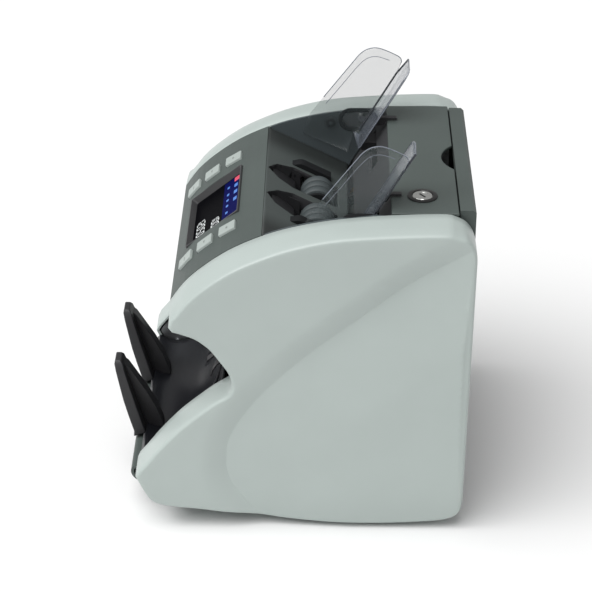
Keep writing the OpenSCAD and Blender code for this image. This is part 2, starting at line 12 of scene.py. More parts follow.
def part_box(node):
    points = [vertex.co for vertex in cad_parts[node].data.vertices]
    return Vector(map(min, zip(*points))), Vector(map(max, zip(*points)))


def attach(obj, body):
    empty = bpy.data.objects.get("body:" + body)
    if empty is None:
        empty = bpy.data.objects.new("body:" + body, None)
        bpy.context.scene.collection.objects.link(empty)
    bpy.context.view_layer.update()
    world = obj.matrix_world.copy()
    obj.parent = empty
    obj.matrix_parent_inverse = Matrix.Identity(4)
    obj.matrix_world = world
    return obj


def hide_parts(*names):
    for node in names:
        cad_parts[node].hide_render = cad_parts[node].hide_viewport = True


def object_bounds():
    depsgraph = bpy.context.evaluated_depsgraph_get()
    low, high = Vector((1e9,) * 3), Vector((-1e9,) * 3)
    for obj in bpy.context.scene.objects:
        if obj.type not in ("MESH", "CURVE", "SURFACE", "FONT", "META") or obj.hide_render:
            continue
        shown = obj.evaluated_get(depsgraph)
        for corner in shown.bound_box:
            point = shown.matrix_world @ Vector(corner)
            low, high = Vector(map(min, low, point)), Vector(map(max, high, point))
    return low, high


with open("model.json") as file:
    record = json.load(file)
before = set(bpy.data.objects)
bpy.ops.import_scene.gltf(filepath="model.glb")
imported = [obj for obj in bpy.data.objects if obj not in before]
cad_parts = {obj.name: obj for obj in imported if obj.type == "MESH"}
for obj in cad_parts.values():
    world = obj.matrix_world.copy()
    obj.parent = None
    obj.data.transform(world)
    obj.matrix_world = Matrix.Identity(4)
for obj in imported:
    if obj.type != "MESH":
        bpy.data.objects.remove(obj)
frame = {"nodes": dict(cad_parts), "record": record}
cad_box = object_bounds()
record = frame["record"]
nodes = frame["nodes"]


def box_mm(node):
    """Lowest and highest corners of a CAD node, in millimetres."""
    low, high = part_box(node)
    return low * 1000, high * 1000


# Planes of the case, read from the frame
cover_low, cover_high = box_mm("side_cover_right")
COVER_IN, COVER_OUT = cover_low.x, cover_high.x
deck_low, deck_high = box_mm("deck")
DECK_Z = deck_high.z
panel_high = box_mm("control_panel")[1]
floor_low, floor_high = box_mm("hopper_floor")
glass_low, glass_high = box_mm("display_glass")
roller_low, roller_high = box_mm("feed_rollers")
guide_high = box_mm("guide_right")[1]

# Side view of the case's top line, from the nose to the rear of the deck
CREST = [(-98, 206), (-86, 223), (-70, 238), (-48, 253.5), (-22, 266), (4, 274.5),
         (36, 281), (72, 285), (112, 287), (140, 287)]
REAR_CORNER = [(133, 286.6), (143, 282), (149, 275), (152.6, 266), (153.4, 256)]
# Lower edge of a side cover, from the chin to the rear foot
UNDER = [(-130, 52), (-120, 31), (-112, 24), (-98, 20.8), (-76, 18.5), (-44, 13.5), (-12, 8),
         (22, 5), (56, 4), (90, 4.6), (122, 7), (136, 9.5), (144.5, 14), (148.5, 22), (149.6, 34)]
# Cut in the cover's front edge that opens the stacker pocket
SCOOP = [(-95, 193), (-87, 190.5), (-76, 186), (-65, 177), (-57, 166), (-50, 155.4),
         (-47.2, 147), (-46.8, 139.5), (-50.5, 133.4), (-60, 127), (-70, 119.3), (-88, 103.8),
         (-100, 91.4), (-110.3, 79.4), (-120.5, 66), (-127.6, 57.4)]
# Crease between a side cover's upper sweep and its lower panel, from the rear top corner to the front
RIDGE = [(149, 270), (130, 257), (107, 243), (84, 226), (61, 207), (38, 189), (14, 169),
         (-9, 147), (-25, 130), (-38, 112), (-46, 98), (-51, 85), (-52, 71), (-52, 60),
         (-48, 46), (-41, 35), (-33, 23), (-23, 11)]
# How deep the crease lies, by the fraction of the way along it
RIDGE_DEPTH = [(0, 3), (0.08, 6.4), (0.2, 7.2), (0.3, 6.2), (0.42, 5.6), (0.5, 5.2), (0.62, 4), (0.78, 4),
               (0.9, 5), (1, 5)]
# How far the hollow above the ridge and the rise below it reach, each with its curve's power
SWEEP, RISE = (21, 1.5), (75, 1.2)


# ---------------------------------------------------------------- curves
def curve(points, n):
    """Catmull-Rom curve through the points, with n steps between neighbours."""
    p = [Vector(q) for q in points]
    out = []
    for i in range(len(p) - 1):
        a, b, c, d = p[max(i - 1, 0)], p[i], p[i + 1], p[min(i + 2, len(p) - 1)]
        for k in range(n):
            t = k / n
            out.append(0.5 * (2 * b + (c - a) * t + (2 * a - 5 * b + 4 * c - d) * t * t
                              + (3 * b - a - 3 * c + d) * t ** 3))
    return out + [p[-1]]


def lookup(table, x):
    """Straight-line value of a table of (x, value), held at its ends."""
    if x <= table[0][0]:
        return table[0][1]
    for (x0, v0), (x1, v1) in zip(table, table[1:]):
        if x <= x1:
            return v0 + (v1 - v0) * (x - x0) / (x1 - x0)
    return table[-1][1]


def smooth(x):
    """Smooth step from 0 to 1."""
    x = min(max(x, 0), 1)
    return x * x * (3 - 2 * x)


def path_place(path, p):
    """(distance to the path, positive on its right; fraction of the way along it)."""
    total = sum((b - a).length for a, b in zip(path, path[1:]))
    best, run = (1e9, 0), 0
    for a, b in zip(path, path[1:]):
        size = (b - a).length
        t = min(max((p - a).dot(b - a) / size ** 2, 0), 1)
        off = p - a - (b - a) * t
        if off.length < abs(best[0]) - 1e-9:
            side = (b - a).y * (p - a).x - (b - a).x * (p - a).y
            best = (math.copysign(off.length, side), (run + t * size) / total)
        run += size
    return best


def inside(p, outline):
    """Whether a point lies within a closed outline."""
    hit = False
    for a, b in zip(outline, outline[1:] + outline[:1]):
        if (a.y > p.y) != (b.y > p.y) and p.x < (b.x - a.x) * (p.y - a.y) / (b.y - a.y) + a.x:
            hit = not hit
    return hit


def shifted(path, d, closed=False):
    """The path moved d to its left."""
    out, n = [], len(path)
    for i, p in enumerate(path):
        a = path[i - 1] if i or closed else p
        b = path[(i + 1) % n] if i < n - 1 or closed else p
        u = (p - a).normalized() if (p - a).length else (b - p).normalized()
        v = (b - p).normalized() if (b - p).length else u
        left = Vector((-u.y - v.y, u.x + v.x))
        out.append(p + left * d / max(1 + u.dot(v), 0.5))
    return out


def crest_z(y):
    """Height of the case's top line at y."""
    return lookup([(p.x, p.y) for p in curve(CREST, 3)], y)


# ---------------------------------------------------------------- materials
def material(name, colour, roughness, grain=900, relief=0.15, mottle=0.06, metallic=0.0,
             stretch=(1, 1, 1), specular=0.5, coat=0.0, alpha=1.0):
    """Procedural material: fine moulded or drawn grain, soft mottling and uneven gloss."""
    mat = bpy.data.materials.new(name)
    mat.use_nodes = True
    tree = mat.node_tree
    shader = tree.nodes["Principled BSDF"]
    shader.inputs["Metallic"].default_value = metallic
    shader.inputs["Specular IOR Level"].default_value = specular
    shader.inputs["Coat Weight"].default_value = coat
    shader.inputs["Alpha"].default_value = alpha
    place = tree.nodes.new("ShaderNodeTexCoord")
    scale = tree.nodes.new("ShaderNodeMapping")
    scale.inputs["Scale"].default_value = stretch
    tree.links.new(place.outputs["Object"], scale.inputs["Vector"])

    def noise(size, detail):
        n = tree.nodes.new("ShaderNodeTexNoise")
        n.inputs["Scale"].default_value = size
        n.inputs["Detail"].default_value = detail
        tree.links.new(scale.outputs["Vector"], n.inputs["Vector"])
        return n

    fine, broad = noise(grain, 2), noise(18, 3)
    tone = tree.nodes.new("ShaderNodeValToRGB")
    tone.color_ramp.elements[0].position = 0.3
    tone.color_ramp.elements[1].position = 0.7
    tone.color_ramp.elements[0].color = [c * (1 - mottle) for c in colour] + [1]
    tone.color_ramp.elements[1].color = [min(c * (1 + mottle), 1) for c in colour] + [1]
    tree.links.new(broad.outputs["Fac"], tone.inputs["Fac"])
    tree.links.new(tone.outputs["Color"], shader.inputs["Base Color"])
    gloss = tree.nodes.new("ShaderNodeMapRange")
    gloss.inputs["To Min"].default_value = max(roughness - 0.05, 0.02)
    gloss.inputs["To Max"].default_value = min(roughness + 0.07, 1)
    tree.links.new(fine.outputs["Fac"], gloss.inputs["Value"])
    tree.links.new(gloss.outputs["Result"], shader.inputs["Roughness"])
    bump = tree.nodes.new("ShaderNodeBump")
    bump.inputs["Strength"].default_value = relief
    bump.inputs["Distance"].default_value = 0.0002
    tree.links.new(fine.outputs["Fac"], bump.inputs["Height"])
    tree.links.new(bump.outputs["Normal"], shader.inputs["Normal"])
    return mat


def paint_shade_outwards(mat, start, end, share):
    """Paints shade into a material's colour: it falls to a share of itself between two distances from the
    middle.
    """
    tree = mat.node_tree
    base = tree.nodes["Principled BSDF"].inputs["Base Color"]
    source = base.links[0].from_socket
    place = tree.nodes.new("ShaderNodeTexCoord")
    split = tree.nodes.new("ShaderNodeSeparateXYZ")
    size = tree.nodes.new("ShaderNodeMath")
    size.operation = "ABSOLUTE"
    ramp = tree.nodes.new("ShaderNodeMapRange")
    ramp.interpolation_type = "SMOOTHSTEP"
    ramp.inputs["From Min"].default_value, ramp.inputs["From Max"].default_value = start, end
    ramp.inputs["To Min"].default_value, ramp.inputs["To Max"].default_value = 1, share
    scaled = tree.nodes.new("ShaderNodeVectorMath")
    scaled.operation = "SCALE"
    tree.links.new(place.outputs["Object"], split.inputs["Vector"])
    tree.links.new(split.outputs["X"], size.inputs[0])
    tree.links.new(size.outputs["Value"], ramp.inputs["Value"])
    tree.links.new(source, scaled.inputs[0])
    tree.links.new(ramp.outputs["Result"], scaled.inputs["Scale"])
    tree.links.new(scaled.outputs["Vector"], base)
    return mat


def glowing(mat, colour, strength):
    """Makes a material give its own light."""
    shader = mat.node_tree.nodes["Principled BSDF"]
    shader.inputs["Emission Color"].default_value = list(colour) + [1]
    shader.inputs["Emission Strength"].default_value = strength
    return mat


MATERIALS = {
    "cover_light": material("cover_light", (0.415, 0.47, 0.45), 0.36, relief=0.1, mottle=0.02),
    "panel_dark": material("panel_dark", (0.068, 0.085, 0.079), 0.5, grain=1400, relief=0.3),
    # hopper_dark holds painted shade: its colour falls to 35% between 58 and 92 mm from the middle, where
    # shade lies on the slope near the hopper's side walls
    "hopper_dark": paint_shade_outwards(material("hopper_dark", (0.058, 0.07, 0.067), 0.55, grain=1400,
                                            relief=0.3), 0.058, 0.092, 0.35),
    "hopper_wall": material("hopper_wall", (0.07, 0.086, 0.092), 0.48, grain=1400, relief=0.3),
    "tray_black": material("tray_black", (0.009, 0.0095, 0.012), 0.3, relief=0.08, specular=0.35),
    "plate_black": material("plate_black", (0.022, 0.022, 0.024), 0.45, grain=1600, relief=0.3),
    "button_grey": material("button_grey", (0.36, 0.405, 0.385), 0.45, relief=0.1, mottle=0.02),
    "display_black": material("display_black", (0.002, 0.002, 0.003), 0.4, relief=0.0,
                              specular=0.01),
    "bezel_dark": material("bezel_dark", (0.05, 0.05, 0.052), 0.5),
    "guide_clear": material("guide_clear", (0.1, 0.12, 0.125), 0.1, grain=40, relief=0.0, mottle=0.03,
                            coat=0.4, alpha=0.17),
    "roller_grey": material("roller_grey", (0.05, 0.062, 0.065), 0.6, grain=1800, relief=0.35),
    "ring_black": material("ring_black", (0.011, 0.012, 0.013), 0.7, grain=1800, relief=0.35,
                           specular=0.15),
    "foot_black": material("foot_black", (0.018, 0.018, 0.018), 0.8, relief=0.4),
    "steel": material("steel", (0.6, 0.61, 0.62), 0.28, metallic=1, stretch=(0.06, 1, 1)),
    "galvanised": material("galvanised", (0.5, 0.52, 0.53), 0.42, grain=260, metallic=1, mottle=0.15),
    "base_grey": material("base_grey", (0.06, 0.065, 0.07), 0.55, grain=700, relief=0.5),
    "lock_chrome": material("lock_chrome", (0.72, 0.72, 0.7), 0.2, metallic=1, mottle=0.03),
    "lock_black": material("lock_black", (0.012, 0.012, 0.012), 0.3),
    "bronze": material("bronze", (0.5, 0.32, 0.13), 0.5, metallic=1),
    "drum_alloy": material("drum_alloy", (0.6, 0.6, 0.58), 0.35, metallic=1, stretch=(1, 0.1, 0.1)),
    "pulley_white": material("pulley_white", (0.68, 0.68, 0.64), 0.5),
    "belt_black": material("belt_black", (0.02, 0.02, 0.02), 0.8, relief=0.4),
    "board_green": material("board_green", (0.02, 0.12, 0.055), 0.35, grain=500, mottle=0.2),
    "motor_grey": material("motor_grey", (0.18, 0.185, 0.19), 0.4),
    "switch_red": material("switch_red", (0.42, 0.02, 0.015), 0.3),
    "inlet_black": material("inlet_black", (0.02, 0.02, 0.02), 0.5, relief=0.3),
    "sheet_grey": material("sheet_grey", (0.4, 0.42, 0.43), 0.4, metallic=1, stretch=(0.1, 1, 1)),
    "sensor_black": material("sensor_black", (0.02, 0.02, 0.025), 0.35),
}
EDGE = material("guide_edge", (0.2, 0.22, 0.26), 0.2, coat=0.5)
LEAF = material("guide_leaf", (0.155, 0.175, 0.21), 0.12, grain=40, relief=0.0, mottle=0.03,
                coat=0.6, alpha=0.42)
BACK_WALL = material("back_dark", (0.034, 0.035, 0.037), 0.55, grain=1400, relief=0.3)
SEAM = material("guide_seam", (0.022, 0.025, 0.035), 0.25, coat=0.4)
MARK = material("printed_mark", (0.2, 0.22, 0.21), 0.5)
DIGIT = glowing(material("lit_digit", (0.6, 0.62, 0.62), 0.4), (0.8, 0.85, 0.85), 0.35)
ICON = glowing(material("lit_icon", (0.05, 0.14, 0.4), 0.4), (0.06, 0.2, 0.62), 0.4)
NAVY = glowing(material("lit_field", (0.002, 0.003, 0.03), 0.5, specular=0.02), (0.001, 0.002, 0.08), 0.6)
ALERT = glowing(material("lit_alert", (0.4, 0.05, 0.08), 0.4), (0.7, 0.08, 0.14), 0.5)


# ---------------------------------------------------------------- building
def mesh_piece(name, verts, faces, mats, slot, body, replaced=(), face_mats=None, solid=0, offset=-1,
               bevel=0, segments=2, angle=35, subdivide=0, weld=0.01):
    """A piece from vertices in mm. solid is a wall thickness, bevel a rounded edge, both in mm."""
    mesh = bpy.data.meshes.new(name)
    mesh.from_pydata([Vector(v) / 1000 for v in verts], [], faces)
    for mat in mats if isinstance(mats, list) else [mats]:
        mesh.materials.append(mat)
    if face_mats:
        mesh.polygons.foreach_set("material_index", face_mats)
    work = bmesh.new()
    work.from_mesh(mesh)
    bmesh.ops.remove_doubles(work, verts=work.verts, dist=weld / 1000)
    bmesh.ops.recalc_face_normals(work, faces=work.faces)
    for f in work.faces:
        f.smooth = True
    for e in work.edges:
        if len(e.link_faces) == 2 and e.calc_face_angle(0) > math.radians(angle):
            e.smooth = False
    work.to_mesh(mesh)
    work.free()
    obj = bpy.data.objects.new(name, mesh)
    bpy.context.scene.collection.objects.link(obj)
    if solid:
        wall = obj.modifiers.new("wall", "SOLIDIFY")
        wall.thickness, wall.offset = solid / 1000, offset
    if bevel:
        round_off = obj.modifiers.new("rounding", "BEVEL")
        round_off.width, round_off.segments, round_off.limit_method = bevel / 1000, segments, "ANGLE"
        round_off.harden_normals = True
    if subdivide:
        fine = obj.modifiers.new("fine", "SUBSURF")
        fine.levels = fine.render_levels = subdivide
    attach(obj, body)
    if replaced:
        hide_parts(*replaced)
    return obj


def flipped(points):
    return [(-x, y, z) for x, y, z in points]


def strip(rings, closed=True):
    """Vertices and quads that join rings of points with equal counts."""
    n = len(rings[0])
    verts = [v for ring in rings for v in ring]
    span = n if closed else n - 1
    faces = [(r * n + i, r * n + (i + 1) % n, (r + 1) * n + (i + 1) % n, (r + 1) * n + i)
             for r in range(len(rings) - 1) for i in range(span)]
    return verts, faces


def capped(rings, back=False):
    """Rings joined as a closed shape, with a face over each end; back turns the last face round."""
    n = len(rings[0])
    verts, faces = strip(rings)
    last = list(range(len(verts) - n, len(verts)))
    return verts, faces + [list(range(n)), last[::-1] if back else last]


def joined(*parts):
    """One list of vertices and faces, and the material index of each face."""
    verts, faces, index = [], [], []
    for k, (v, f) in enumerate(parts):
        faces += [[len(verts) + i for i in face] for face in f]
        verts += list(v)
        index += [k] * len(f)
    return verts, faces, index


def prism(outline, x0, x1):
    """Closed block with a [y, z] outline, from x0 to x1."""
    return capped([[(x, p[0], p[1]) for p in outline] for x in (x0, x1)], True)


def block(low, high):
    return prism([(low[1], low[2]), (high[1], low[2]), (high[1], high[2]), (low[1], high[2])],
                 low[0], high[0])


def lathe(profile, centre, axis="x", steps=48):
    """Turned shape: profile is [(place along the axis, radius)], closed at both ends."""
    rings = []
    for along, r in profile:
        ring = []
        for k in range(steps):
            a = 2 * math.pi * k / steps
            u, v = r * math.cos(a), r * math.sin(a)
            p = (along, u, v) if axis == "x" else (u, v, along)
            ring.append(tuple(c + d for c, d in zip(centre, p)))
        rings.append(ring)
    return capped(rings)


def tube(points, r, steps=8):
    """Round bead along a path of 3-D points."""
    rings = []
    for i, p in enumerate(points):
        p = Vector(p)
        along = (Vector(points[min(i + 1, len(points) - 1)]) - Vector(points[max(i - 1, 0)])).normalized()
        side = along.cross(Vector((1, 0, 0)) if abs(along.x) < 0.9 else Vector((0, 1, 0))).normalized()
        up = along.cross(side)
        rings.append([tuple(p + r * (math.cos(a) * side + math.sin(a) * up))
                      for a in (2 * math.pi * k / steps for k in range(steps))])
    return capped(rings)


def fill(outline, lines, step):
    """Triangles over a closed outline, with the lines as edges and points every step between."""
    lo = Vector((min(p.x for p in outline), min(p.y for p in outline)))
    hi = Vector((max(p.x for p in outline), max(p.y for p in outline)))
    points, edges = [Vector(p) for p in outline], []
    core = shifted(outline, step * 0.45, True)
    for line in lines:
        kept = [p for p in line if inside(p, core)]
        for a, b in zip(kept, kept[1:]):
            if (b - a).length < 12:
                edges.append((len(points), len(points) + 1))
                points += [a, b]
    for j in range(int((hi.y - lo.y) / step) + 1):
        for i in range(int((hi.x - lo.x) / step) + 1):
            p = lo + Vector(((i + 0.5 * (j % 2)) * step, j * step))
            if inside(p, core):
                points.append(p)
    verts, _, faces, *_ = delaunay_2d_cdt(points, edges, [list(range(len(outline)))], 1, 1e-4)
    return verts, faces


# ---------------------------------------------------------------- side covers
ridge_line = curve(RIDGE, 4)
# The covers draw in by FOOT_SINK from the height FOOT_TOP down
FOOT_SINK, FOOT_TOP = 5, 48


def cover_x(p):
    """X of a side cover's outer face at the [y, z] point p."""
    sink = 0
    d, t = path_place(ridge_line, p)
    reach, power = SWEEP if d > 0 else RISE
    sink += lookup(RIDGE_DEPTH, t) * max(0, 1 - abs(d) / reach) ** power
    sink += FOOT_SINK * (max(0, FOOT_TOP - p.y) / FOOT_TOP) ** 2
    return COVER_OUT - sink


def cover_outline():
    """Closed [y, z] outline, anticlockwise seen from +X with the front on the left."""
    crest = [p for p in curve(CREST, 4) if p.x <= 130]
    return (curve(UNDER, 3) + curve(REAR_CORNER, 4)[::-1] + crest[::-1] + [Vector((-98, 197))]
            + curve(SCOOP, 4))


def shoulder(p):
    """How far the band's outer edge is rounded over: 1 at the nose, 0 over the deck."""
    return (1 - smooth((p.x + 30) / 80)) * smooth((p.y - 200) / 12)


def crest_fall(p):
    """How far the top band falls from its inner to its outer edge."""
    if p.y < 200:
        return 0
    return 2.6 * smooth((p.x + 20) / 100) * smooth((150 - p.x) / 12) + 3.2 * shoulder(p)


def cover(side, name, replaced):
    line = cover_outline()
    fall = [crest_fall(p) for p in line]
    normals = [b - a for a, b in zip(line, shifted(line, 1, True))]
    face = [p + n * (f + 3.2) for p, n, f in zip(line, normals, fall)]
    face_x = [cover_x(p) for p in face]

    def ring(inset, share, x):
        return [(x(i), *(p + n * (f * share + inset)))
                for i, (p, n, f) in enumerate(zip(line, normals, fall))]

    rings = [
        ring(0.7, 0, lambda i: COVER_IN),
        ring(0, 0, lambda i: COVER_IN + 0.7),
        ring(0, 0.15, lambda i: COVER_IN + 10),
        ring(0, 0.45, lambda i: COVER_IN + 20),
        ring(0.05, 0.8, lambda i: face_x[i] - 4 - 5 * shoulder(line[i])),
        ring(0.35, 1, lambda i: face_x[i] - 2.2 - 2 * shoulder(line[i])),
        ring(1.1, 1, lambda i: face_x[i] - 0.8),
        ring(2.1, 1, lambda i: face_x[i] - 0.15),
        ring(3.2, 1, lambda i: face_x[i]),
    ]
    edges = strip(rings)
    lines = [ridge_line] + [shifted(ridge_line, d) for d in (-20, -15, -10, -6, -3, -0.8, 0.8, 3, 6, 11)]
    flat, tris = fill(face, lines, 4)
    verts, faces, _ = joined(edges, ([(cover_x(p), p.x, p.y) for p in flat], tris))
    if side < 0:
        verts = flipped(verts)
    return mesh_piece(name, verts, faces, MATERIALS["cover_light"], "cover_light", "case", [replaced],
                      solid=2.6, weld=0.02, angle=80)


cover(1, "cover_right", "side_cover_right")
cover(-1, "cover_left", "side_cover_left")


# ---------------------------------------------------------------- deck and lock
NOTCH_R, NOTCH_DEPTH = 34, 10
lock_low, lock_high = box_mm("lock_body")
lock_at = (lock_low + lock_high) / 2


def slab(outline, z0, z1):
    """Closed plate with an [x, y] outline."""
    return capped([[(p[0], p[1], z) for p in outline] for z in (z0, z1)], True)


def deck_piece():
    half_notch = math.sqrt(NOTCH_R ** 2 - (NOTCH_R - NOTCH_DEPTH) ** 2)
    cy = deck_high.y - NOTCH_DEPTH + NOTCH_R
    top_a = math.atan2(half_notch, NOTCH_R - NOTCH_DEPTH)
    notch = [(NOTCH_R * math.sin(a), cy - NOTCH_R * math.cos(a))
             for a in (top_a * (1 - k / 12) for k in range(25))]
    outline = [(deck_low.x, deck_low.y), (deck_high.x, deck_low.y), (deck_high.x, deck_high.y)]
    outline += notch + [(deck_low.x, deck_high.y)]
    plate = slab(outline, DECK_Z - 3, DECK_Z)
    lip = block((deck_low.x, deck_low.y, DECK_Z - 13.5), (deck_high.x, deck_low.y + 3, DECK_Z - 2.9))
    verts, faces, _ = joined(plate, lip)
    mesh_piece("deck_plate", verts, faces, MATERIALS["panel_dark"], "panel_dark", "case", ["deck"],
               bevel=1.0, weld=0.001)


deck_piece()
ring_profile = [(DECK_Z - 12, 9.8), (DECK_Z, 9.8), (DECK_Z, 12.2), (DECK_Z + 0.4, 12.6),
                (DECK_Z + 1.0, 12.4), (DECK_Z + 1.4, 11.6), (DECK_Z + 1.4, 9.2), (DECK_Z + 1.0, 8.7),
                (DECK_Z - 6, 8.7)]
at_lock = (lock_at.x, lock_at.y, 0)
mesh_piece("lock_ring", *lathe(ring_profile, at_lock, "z"), MATERIALS["lock_black"], "lock_black",
           "case", ["lock_body"])
plug_profile = [(DECK_Z - 13, 8.2), (DECK_Z - 0.2, 8.5), (DECK_Z + 0.8, 8.4), (DECK_Z + 1.2, 7.9),
                (DECK_Z + 1.2, 5.6), (DECK_Z + 0.9, 5.4), (DECK_Z + 0.9, 0.2)]
plug = lathe(plug_profile, at_lock, "z")


def turned(shape, centre, degrees):
    """A shape turned about the vertical through centre."""
    a = math.radians(degrees)
    out = []
    for x, y, z in shape[0]:
        dx, dy = x - centre[0], y - centre[1]
        out.append((centre[0] + dx * math.cos(a) - dy * math.sin(a),
                    centre[1] + dx * math.sin(a) + dy * math.cos(a), z))
    return out, shape[1]


slit = turned(block((lock_at.x - 4, lock_at.y - 0.8, DECK_Z + 0.2),
                    (lock_at.x + 4, lock_at.y + 0.8, DECK_Z + 1.0)), at_lock, 35)
verts, faces, index = joined(plug, slit)
mesh_piece("lock_barrel", verts, faces, [MATERIALS["lock_chrome"], MATERIALS["lock_black"]],
           "lock_chrome", "lock", ["lock_plug"], face_mats=index)

# ---------------------------------------------------------------- display and buttons
glass_mid = (glass_low + glass_high) / 2
PANEL_A = math.radians(38.5)
# The window's middle on the panel's surface: the glass's face lies 7.5 mm under it at its back
panel_up = Vector((0, -math.sin(PANEL_A), math.cos(PANEL_A)))
panel_along = Vector((0, math.cos(PANEL_A), math.sin(PANEL_A)))
window_mid = glass_mid + panel_up * 6.75
WINDOW = (92, 58)


def on_window(x, along, up):
    return tuple(window_mid + Vector((x, 0, 0)) + panel_along * along + panel_up * up)


def rounded_box(w, h, r, steps=5):
    out = []
    for cx, cy, a0 in ((w - r, h - r, 0), (-w + r, h - r, 90), (-w + r, -h + r, 180), (w - r, -h + r, 270)):
        for k in range(steps + 1):
            a = math.radians(a0 + 90 * k / steps)
            out.append((cx + r * math.cos(a), cy + r * math.sin(a)))
    return out


def bezel_piece():
    w, h = WINDOW[0] / 2 - 0.3, WINDOW[1] / 2 - 0.3
    levels = [(0, 1, -8.8), (0, 1, -0.9), (0.4, 1.4, -0.5), (0.9, 1.8, -0.5), (2.6, 2.4, -5.8),
              (2.8, 2.4, -6.4), (2.8, 2.4, -8.8)]
    rings = [[on_window(x, y, up) for x, y in rounded_box(w - inset, h - inset, r)]
             for inset, r, up in levels]
    mesh_piece("display_frame", *strip(rings + rings[:1]), MATERIALS["bezel_dark"], "bezel_dark",
               "case", ["display_bezel"], angle=30)


bezel_piece()


def flat_mark(outline, x, along, up, thick=0.12):
    """A thin shape printed or lit on the screen."""
    return capped([[on_window(x + a, along + b, lift) for a, b in outline] for lift in (up, up + thick)],
                  True)


SEGMENTS = {0: "abcdef", 1: "bc", 2: "abged", 5: "afgcd"}


def digit(value, x, along, w, h, t, up):
    """Seven-segment digit."""
    bars = {"a": (0, h, w, t), "g": (0, 0, w, t), "d": (0, -h, w, t), "f": (-w, h / 2, t, h / 2 - t),
            "b": (w, h / 2, t, h / 2 - t), "e": (-w, -h / 2, t, h / 2 - t), "c": (w, -h / 2, t, h / 2 - t)}
    return [flat_mark([(cx - a, cy - b), (cx + a, cy - b), (cx + a, cy + b), (cx - a, cy + b)],
                      x, along, up) for cx, cy, a, b in (bars[k] for k in SEGMENTS[value])]


SCREEN = -5.98
digits = []
for k, value in enumerate((1, 2, 0, 5, 0)):
    digits += digit(value, 1 + 6.4 * k, -18, 1.9, 4.2, 0.4, SCREEN)
for k, value in enumerate((1, 0, 0)):
    digits += digit(value, 15 + 6.4 * k, -1.5, 1.9, 4, 0.4, SCREEN)
v, f, _ = joined(*digits)
mesh_piece("screen_digits", v, f, DIGIT, "display_black", "case", weld=0.0005)
v, f, _ = joined(flat_mark(rounded_box(41, 9, 0.8), 0, 15, SCREEN - 0.06))
mesh_piece("screen_field", v, f, NAVY, "display_black", "case", weld=0.0005)
icons = [flat_mark(rounded_box(1.9, 1.3, 0.5), x, 11, SCREEN) for x in (-28, -14, -3, 8, 21, 33)]
icons += [flat_mark(rounded_box(3.1, 1.9, 0.7), x, 19.5, SCREEN) for x in (-24, -11, 3)]
v, f, _ = joined(*icons)
mesh_piece("screen_icons", v, f, ICON, "display_black", "case", weld=0.0005)
v, f, _ = joined(flat_mark(rounded_box(4, 2.7, 0.8), -36.5, 20, SCREEN))
mesh_piece("screen_alert", v, f, ALERT, "display_black", "case", weld=0.0005)


def button_piece(number):
    node = "button_%d" % number
    low, high = box_mm(node)
    x, y = (low.x + high.x) / 2, (low.y + high.y) / 2
    a = math.atan((crest_z(y + 4) - crest_z(y - 4)) / 8)
    up, along = Vector((0, -math.sin(a), math.cos(a))), Vector((0, math.cos(a), math.sin(a)))
    mid = Vector((x, y, crest_z(y)))
    mid += along * (y - mid.y)
    w, h = (high.x - low.x) / 2, 8
    levels = [(0, -2.2), (0, 1.4), (0.15, 1.75), (0.5, 1.96), (1.2, 2.0), (4.5, 1.85)]

    def put(p, lift):
        return tuple(mid + Vector((p[0], 0, 0)) + along * p[1] + up * lift)

    rings = [[put(p, lift) for p in rounded_box(w - inset, h - inset, max(0.9 - inset * 0.2, 0.5))]
             for inset, lift in levels]
    stem = [[put((2.4 * math.cos(t), 2.4 * math.sin(t)), lift) for t in (math.pi * k / 8 for k in range(16))]
            for lift in (-5.9, -2.1)]
    marks = {0: [(-3, -0.35), (3, -0.35), (3, 0.35), (-3, 0.35)],
             1: [(-2.2, -1), (2.2, 0), (-2.2, 1)],
             2: [(1.8 * math.cos(t), 0.9 * math.sin(t)) for t in (math.pi * k / 6 for k in range(12))]}
    mark = [[put(p, lift) for p in marks[(number - 1) % 3]] for lift in (1.7, 1.97)]
    cap = joined(capped(rings), capped(stem))
    v, f, index = joined(cap[:2], capped(mark))
    mesh_piece("cap_%d" % number, v, f, [MATERIALS["button_grey"], MARK], "button_grey",
               "key_%d" % number, [node], face_mats=index, weld=0.0005)


for number in range(1, 7):
    button_piece(number)

# ---------------------------------------------------------------- hopper
feed_low, feed_high = box_mm("feed_shaft")
FEED_Y, FEED_Z = (feed_low.y + feed_high.y) / 2, (feed_low.z + feed_high.z) / 2
ROLLER_R = (roller_high.z - roller_low.z) / 2
ROLLER_X, ROLLER_W = 27, 32
SLOPE_TOP, SLOPE_LOW = Vector((floor_low.y, floor_high.z)), Vector((floor_high.y, 229.5))
slope_dir = (SLOPE_LOW - SLOPE_TOP).normalized()
slope_up = Vector((-slope_dir.y, slope_dir.x))
# A pocket's drop at its rim, its fall for each mm inwards, and the gap beside a roller
POCKET_STEP, POCKET_FALL, WELL_GAP = 7, 0.9, 3.2
# Half outline of one flared pocket round its roller, as [x, y] seen from above
POCKET = [(25, -20.6), (39, -13), (47.5, 2), (47, 40), (5.5, 40), (5, 2), (12, -11)]


def slope_point(x, y, sink=0):
    t = (y - SLOPE_TOP.x) / slope_dir.x
    p = SLOPE_TOP + slope_dir * t - slope_up * sink
    return (x, p.x, p.y)


